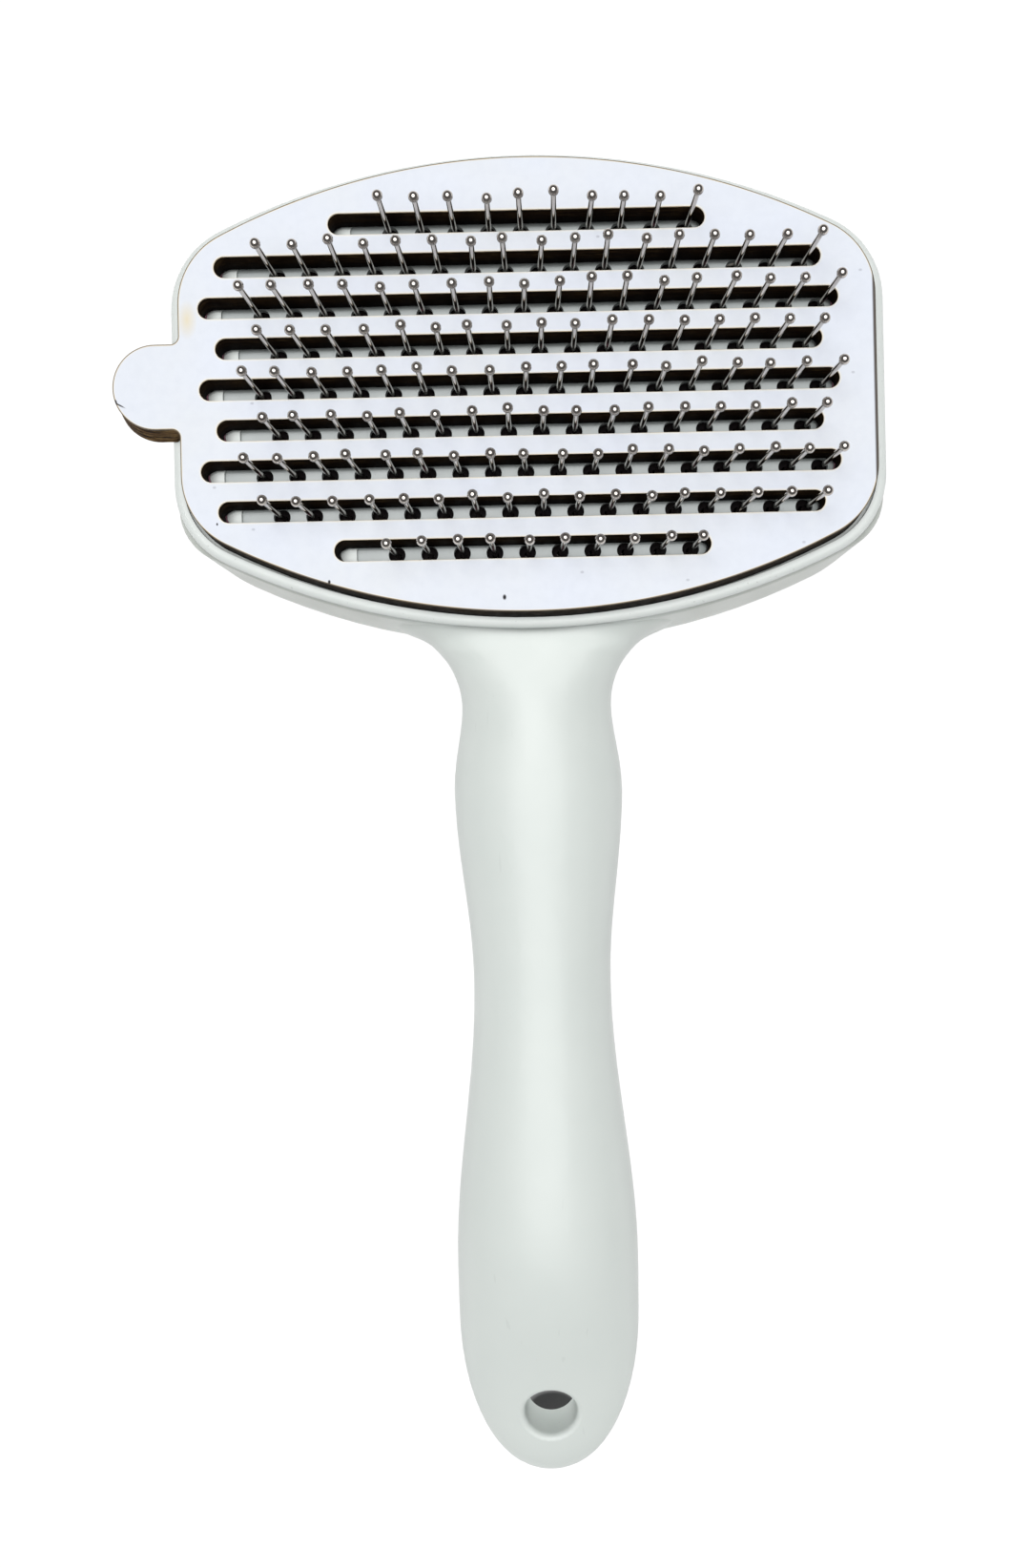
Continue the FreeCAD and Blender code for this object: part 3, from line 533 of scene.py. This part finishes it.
def tab_points():
    """The thumb tab's outline, walked down the board's left side."""
    tab_y = HEAD_Y + TAB_Y
    root_x = -BOARD_HALF_X - TAB_ROOT_R
    centre_x = -BOARD_HALF_X - TAB_REACH + TAB_R
    root = TAB_R + TAB_ROOT_R
    points = arc((root_x, tab_y + root), TAB_ROOT_R, 0, -90, TAB_ROOT_STEP)
    points += line((root_x, tab_y + TAB_R), (centre_x, tab_y + TAB_R))
    points += arc((centre_x, tab_y), TAB_R, 90, 270)
    points += line((centre_x, tab_y - TAB_R), (root_x, tab_y - TAB_R))
    points += arc((root_x, tab_y - root), TAB_ROOT_R, 90, 0, TAB_ROOT_STEP)
    return points


def board_outline(with_tab):
    """The board's outline, anticlockwise."""
    corner_x, corner_y, arc_y, lean = barrel_corner()
    top, low = HEAD_Y + corner_y, HEAD_Y - corner_y
    points = arc((corner_x, top), BOARD_CORNER_R, 0, lean)
    points += arc((0, HEAD_Y + arc_y), BOARD_ARC_R, lean, 180 - lean)[1:-1]
    points += arc((-corner_x, top), BOARD_CORNER_R, 180 - lean, 180)
    if with_tab:
        tab = tab_points()
        points += line((-BOARD_HALF_X, top), tab[0]) + tab + line(tab[-1], (-BOARD_HALF_X, low))
    else:
        points += line((-BOARD_HALF_X, top), (-BOARD_HALF_X, low))
    points += arc((-corner_x, low), BOARD_CORNER_R, 180, 180 + lean)
    points += arc((0, HEAD_Y - arc_y), BOARD_ARC_R, 180 + lean, 360 - lean)[1:-1]
    points += arc((corner_x, low), BOARD_CORNER_R, 360 - lean, 360)
    points += line((BOARD_HALF_X, low), (BOARD_HALF_X, top))
    return points


def row_y(row):
    """Centre line of one row, counted from the top of the head."""
    return HEAD_Y + (len(ROW_COUNTS) // 2 - row) * ROW_PITCH


def slot_outline(row):
    """One slot's outline, clockwise, so that the board lies on the same side as along its outline."""
    reach = SLOT_LENGTHS[row] / 2 - SLOT_HALF_WIDTH
    left, right, y = SLOT_SHIFT_X - reach, SLOT_SHIFT_X + reach, row_y(row)
    points = arc((right, y), SLOT_HALF_WIDTH, 90, -90, SLOT_END_STEP)
    points += line((right, y - SLOT_HALF_WIDTH), (left, y - SLOT_HALF_WIDTH))
    points += arc((left, y), SLOT_HALF_WIDTH, 270, 90, SLOT_END_STEP)
    points += line((left, y + SLOT_HALF_WIDTH), (right, y + SLOT_HALF_WIDTH))
    return points


def moved_in(points, distance):
    """The loop moved towards the material, which lies on its left."""
    moved = []
    count = len(points)
    for index, point in enumerate(points):
        along = (points[(index + 1) % count] - points[index - 1]).normalized()
        moved.append(point + Vector((-along.y, along.x)) * distance)
    return moved


def add_ring(bm, points, z):
    """Vertices along a loop, at one height."""
    return [bm.verts.new((point.x, point.y, z)) for point in points]


def join_rings(bm, first, second):
    """Quads between two rings of the same length."""
    count = len(first)
    for index in range(count):
        after = (index + 1) % count
        bm.faces.new((first[index], first[after], second[after], second[index]))


def ring_edges(bm, ring):
    """The edges that close a ring of vertices."""
    return [bm.edges.get((ring[index - 1], ring[index])) for index in range(len(ring))]


def fill_between(bm, rings, normal):
    """Flat faces between an outer ring and the rings of its holes."""
    edges = [edge for ring in rings for edge in ring_edges(bm, ring)]
    bmesh.ops.triangle_fill(bm, edges=edges, use_beauty=True, normal=normal)


def board_facing_mesh():
    """White sheet on the board's top, with close rings of vertices along every cut for its halo."""
    bm = bmesh.new()
    cut = bm.verts.layers.float.new("cut")
    inner_rings = []
    for loop in [board_outline(True)] + [slot_outline(row) for row in range(len(ROW_COUNTS))]:
        burn = 0.0 if inner_rings else 1.0
        bottom = add_ring(bm, loop, board_low.z)
        wall = add_ring(bm, loop, board_high.z - FACE_ROUNDING)
        join_rings(bm, bottom, wall)
        last = wall
        for vert in bottom + wall:
            vert[cut] = 1.0 + burn
        for inset in EDGE_RINGS:
            ring = add_ring(bm, moved_in(loop, inset * MM), board_high.z)
            for vert in ring:
                vert[cut] = 1 - inset / EDGE_RINGS[-1] + (burn if inset == EDGE_RINGS[0] else 0)
            join_rings(bm, last, ring)
            last = ring
        inner_rings.append(last)
    fill_between(bm, inner_rings, Vector((0, 0, 1)))
    return bm


def wall_wobble(point, z, amount):
    """Small unevenness of a laser-charred wall, in metres."""
    return amount * noise.noise(Vector((point.x, point.y, 0.35 * z)) * 900)


def wall_lean(point, away, in_slot):
    """How far a cut wall stands out at its bottom. Walls that face the far end of the head stay upright."""
    facing = max(0.0, -away.y)
    if in_slot:
        return SLOT_WALL_LEAN * facing + SLOT_END_LEAN * abs(away.x)
    on_tab = min(max((-BOARD_HALF_X - point.x) / TAB_ROOT_R, 0.0), 1.0)
    return facing * (RIM_WALL_LEAN + (TAB_WALL_LEAN - RIM_WALL_LEAN) * on_tab)


def board_core_mesh():
    """Core under the facing. Its cut walls lean a little and are uneven, as a laser leaves them."""
    bm = bmesh.new()
    char = bm.verts.layers.float.new("char")
    bottoms, tops = [], []
    loops = [(board_outline(True), False)] + [(slot_outline(row), True) for row in range(len(ROW_COUNTS))]
    for loop, in_slot in loops:
        away = [point - inner for point, inner in zip(loop, moved_in(loop, 1.0))]
        rings = []
        for level in range(CORE_LEVELS):
            share = level / (CORE_LEVELS - 1)
            z = core_high.z + (core_low.z - core_high.z) * share
            points = []
            for point, direction in zip(loop, away):
                lean = wall_lean(point, direction, in_slot) * share
                uneven = wall_wobble(point, z, CORE_WOBBLE) - CORE_SET_BACK
                points.append(point + direction * (lean + uneven))
            ring = add_ring(bm, points, z)
            for vert, point in zip(ring, loop):
                on_tab = point.x < -BOARD_HALF_X
                vert[char] = 1.0 if in_slot else (0.1 if on_tab else 1.0)
            if rings:
                join_rings(bm, rings[-1], ring)
            rings.append(ring)
        tops.append(rings[0])
        bottoms.append(rings[-1])
    fill_between(bm, tops, Vector((0, 0, 1)))
    fill_between(bm, bottoms, Vector((0, 0, -1)))
    return bm


def board_backing_mesh():
    """Thin sheet under the core, which shows as a ledge inside the slots."""
    bm = bmesh.new()
    bottoms, tops = [], []
    loops = [moved_in(board_outline(False), BACKING_INSET)]
    loops += [moved_in(slot_outline(row), -BACKING_LEDGE) for row in range(len(ROW_COUNTS))]
    for loop in loops:
        top = add_ring(bm, loop, backing_high.z)
        bottom = add_ring(bm, loop, backing_low.z)
        join_rings(bm, top, bottom)
        tops.append(top)
        bottoms.append(bottom)
    fill_between(bm, tops, Vector((0, 0, 1)))
    fill_between(bm, bottoms, Vector((0, 0, -1)))
    return bm


def pin_profile(length):
    """Distance along the pin and radius, from the head's far side to the top of the ball."""
    ball_start = length - math.sqrt(PIN_BALL_R ** 2 - PIN_WIRE_R ** 2)
    profile = [(-PIN_HEAD_THICKNESS / 2, 0.0), (-PIN_HEAD_THICKNESS / 2, PIN_HEAD_R)]
    profile += [(PIN_HEAD_THICKNESS / 2, PIN_HEAD_R), (PIN_HEAD_THICKNESS / 2, PIN_WIRE_R)]
    profile += [(ball_start, PIN_WIRE_R)]
    first = math.asin(PIN_WIRE_R / PIN_BALL_R)
    for step in range(1, BALL_STEPS):
        turn = first + (math.pi - first) * step / BALL_STEPS
        profile.append((length - PIN_BALL_R * math.cos(turn), PIN_BALL_R * math.sin(turn)))
    profile.append((length + PIN_BALL_R, 0.0))
    return profile


def add_pin(bm, root, tip):
    """One pin, turned round its own leaning axis."""
    axis = tip - root
    turn_axis = Vector((0, 0, 1)).rotation_difference(axis)
    rings = []
    for along, r in pin_profile(axis.length):
        if r == 0.0:
            rings.append([bm.verts.new(root + turn_axis @ Vector((0, 0, along)))])
            continue
        ring = []
        for side in range(PIN_SIDES):
            turn = 2 * math.pi * side / PIN_SIDES
            point = Vector((r * math.cos(turn), r * math.sin(turn), along))
            ring.append(bm.verts.new(root + turn_axis @ point))
        rings.append(ring)
    for low, high in zip(rings, rings[1:]):
        for side in range(PIN_SIDES):
            after = (side + 1) % PIN_SIDES
            if len(low) == 1:
                bm.faces.new((low[0], high[after], high[side]))
            elif len(high) == 1:
                bm.faces.new((low[side], low[after], high[0]))
            else:
                bm.faces.new((low[side], low[after], high[after], high[side]))


def pin_row_mesh(row, draws):
    """One row of pins, each with its own small lean and height."""
    bm = bmesh.new()
    count = ROW_COUNTS[row]
    first_x = PIN_SHIFT.x - (count - 1) * PIN_PITCH / 2
    for index in range(count):
        x, y = first_x + index * PIN_PITCH, row_y(row) + PIN_SHIFT.y
        spread = Vector([amount * draws.uniform(-1, 1) for amount in PIN_SPREAD])
        fan = Vector((PIN_FAN * (x - PIN_SHIFT.x), 0.0, 0.0))
        lean = PIN_LEAN + fan + spread
        sideways = lean.xy.length
        if sideways > PIN_LEAN_MOST:
            lean.xy = lean.xy * (PIN_LEAN_MOST / sideways)
        root = Vector((x, y, pin_board_low.z - PIN_HEAD_THICKNESS / 2))
        tip = Vector((x, y, PIN_TIP_Z)) + lean
        add_pin(bm, root, tip)
    return bm


def spring_mesh():
    """Four coil springs round the posts, each one wire swept along a helix."""
    bm = bmesh.new()
    reach = SPRING_MEAN_R + SPRING_WIRE_R
    low, high = spring_low.z + SPRING_WIRE_R, spring_high.z - SPRING_WIRE_R
    steps = SPRING_STEPS_PER_TURN * SPRING_TURNS
    for x in (spring_low.x + reach, spring_high.x - reach):
        for y in (spring_low.y + reach, spring_high.y - reach):
            rings = []
            for step in range(steps + 1):
                turn = 2 * math.pi * SPRING_TURNS * step / steps
                outward = Vector((math.cos(turn), math.sin(turn), 0))
                centre = Vector((x, y, low + (high - low) * step / steps)) + outward * SPRING_MEAN_R
                ring = []
                for side in range(SPRING_SIDES):
                    angle = 2 * math.pi * side / SPRING_SIDES
                    rim = outward * math.cos(angle) + Vector((0, 0, math.sin(angle)))
                    ring.append(bm.verts.new(centre + rim * SPRING_WIRE_R))
                rings.append(ring)
            for first, second in zip(rings, rings[1:]):
                join_rings(bm, first, second)
            bm.faces.new(rings[0])
            bm.faces.new(rings[-1])
    return bm


# ---- the object -----------------------------------------------------------------------------
def dress_cad_nodes():
    """Materials for the CAD nodes that stay."""
    shell = shell_plastic()
    steel = metal("screw_steel", colour(196, 196, 198), colour(150, 150, 152), 0.3, 0.45, 0.2 * MM)
    inner = matt_plastic("inner_plastic", colour(214, 216, 214), colour(196, 199, 196), 0.5)
    looks = {
        "front_housing": shell,
        "rear_housing": shell,
        "face_plate": plate_plastic(),
        "push_button": matt_plastic("button", colour(188, 198, 196), colour(172, 184, 182), 0.55),
        "ejector_carrier": inner,
        # Painted shade: the pin board's dark wine red is made almost black, so that the holes in the face
        # plate above it look dark.
        "pin_board": matt_plastic("pin_board_plastic", colour(14, 3, 6), colour(7, 2, 4), 0.6, 0.15),
        "pin_retainer": matt_plastic("retainer_rubber", colour(44, 16, 24), colour(28, 12, 16), 0.8),
        "guide_bushes": matt_plastic("bush_plastic", colour(214, 210, 200), colour(196, 192, 180), 0.4),
        "housing_screws": steel,
        "pin_board_screws": steel,
        "carrier_screws": steel,
    }
    for name, material in looks.items():
        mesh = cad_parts[name].data
        mesh.materials.clear()
        mesh.materials.append(material)


def make_board():
    """The lift-off board's core, facing and backing."""
    layers = (
        ("board_core", board_core_mesh, burnt_board, "board_core", "lift_board_core"),
        ("board_face", board_facing_mesh, board_face, "board_facing", "lift_board_facing"),
        ("board_backing", board_backing_mesh, backing_sheet, "board_backing", "lift_board_backing"),
    )
    for name, make_mesh, make_material, slot, node in layers:
        finish_mesh(name, make_mesh(), make_material(), "lift_board", slot, node)


def make_pins():
    """Nine rows of pins, from the top of the head down."""
    chrome = metal("pin_steel", colour(200, 194, 188), colour(160, 150, 143), 0.06, 0.14, 0.3 * MM)
    draws = random.Random(PIN_SEED)
    for row in range(len(ROW_COUNTS)):
        pins = pin_row_mesh(row, draws)
        finish_mesh(f"pins_{row + 1}", pins, chrome, "housing", "pin_steel", f"pin_row_{row + 1}")


def make_springs():
    """Coil springs, which in the brush shorten against the pin board as the button is pushed in; here they
    are drawn at one length, with a mesh of their own.
    """
    steel = metal("spring_steel", colour(205, 205, 208), colour(160, 160, 164), 0.2, 0.35, 0.1 * MM)
    springs = finish_mesh("springs", spring_mesh(), steel, "housing", "spring_steel", "return_springs")
    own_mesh(springs)


# ---- floor, lights and camera ---------------------------------------------------------------
def make_floor():
    """A wide round floor that the brush lies on."""
    bm = bmesh.new()
    rings = []
    for r in FLOOR_RADII:
        ring = arc((0, HEAD_Y), r, 0, 360 * (FLOOR_SIDES - 1) / FLOOR_SIDES, 2 * math.pi * r / FLOOR_SIDES)
        rings.append(add_ring(bm, ring, REST_Z))
    bm.faces.new(rings[0])
    for first, second in zip(rings, rings[1:]):
        join_rings(bm, first, second)
    mesh = bpy.data.meshes.new("floor")
    bm.to_mesh(mesh)
    bm.free()
    mesh.materials.append(floor_paint())
    floor = bpy.data.objects.new("floor", mesh)
    bpy.context.scene.collection.objects.link(floor)


def area_light(name, place, aim, size, power, tint):
    """A soft round light that the camera doesn't see."""
    data = bpy.data.lights.new(name, "AREA")
    data.shape = "DISK"
    data.size = size
    data.energy = power
    data.color = tint
    light = bpy.data.objects.new(name, data)
    light.location = place
    light.rotation_euler = (aim - place).to_track_quat("-Z", "Y").to_euler()
    light.visible_camera = False
    bpy.context.scene.collection.objects.link(light)


def make_lights():
    """A wide light overhead, a small one over the head, and a weak pale surround."""
    head = Vector((0, HEAD_Y, 0))
    area_light("ceiling", CEILING_PLACE, AIM, CEILING_SIZE, CEILING_WATTS, (1.0, 1.0, 1.0))
    area_light("softbox", SOFTBOX_PLACE, head, SOFTBOX_SIZE, SOFTBOX_WATTS, (1.0, 1.0, 0.99))
    world = bpy.data.worlds.new("studio")
    world.use_nodes = True
    world.node_tree.nodes["Background"].inputs["Color"].default_value = WORLD_TINT
    world.node_tree.nodes["Background"].inputs["Strength"].default_value = WORLD_STRENGTH
    bpy.context.scene.world = world


def make_camera():
    """Looks straight down on the brush from near, turned a little so that the handle leans."""
    data = bpy.data.cameras.new("camera")
    data.sensor_width = CAMERA_SENSOR
    data.lens = CAMERA_LENS
    data.shift_x = CAMERA_SHIFT_X
    data.shift_y = CAMERA_SHIFT_Y
    data.clip_start = 0.01
    camera = bpy.data.objects.new("camera", data)
    camera.location = CAMERA_PLACE
    camera.rotation_euler = (0, 0, CAMERA_TURN)
    bpy.context.scene.collection.objects.link(camera)
    bpy.context.scene.camera = camera


dress_cad_nodes()
make_board()
make_pins()
make_springs()
make_floor()
make_lights()
make_camera()
bpy.context.scene.view_settings.view_transform = "Standard"
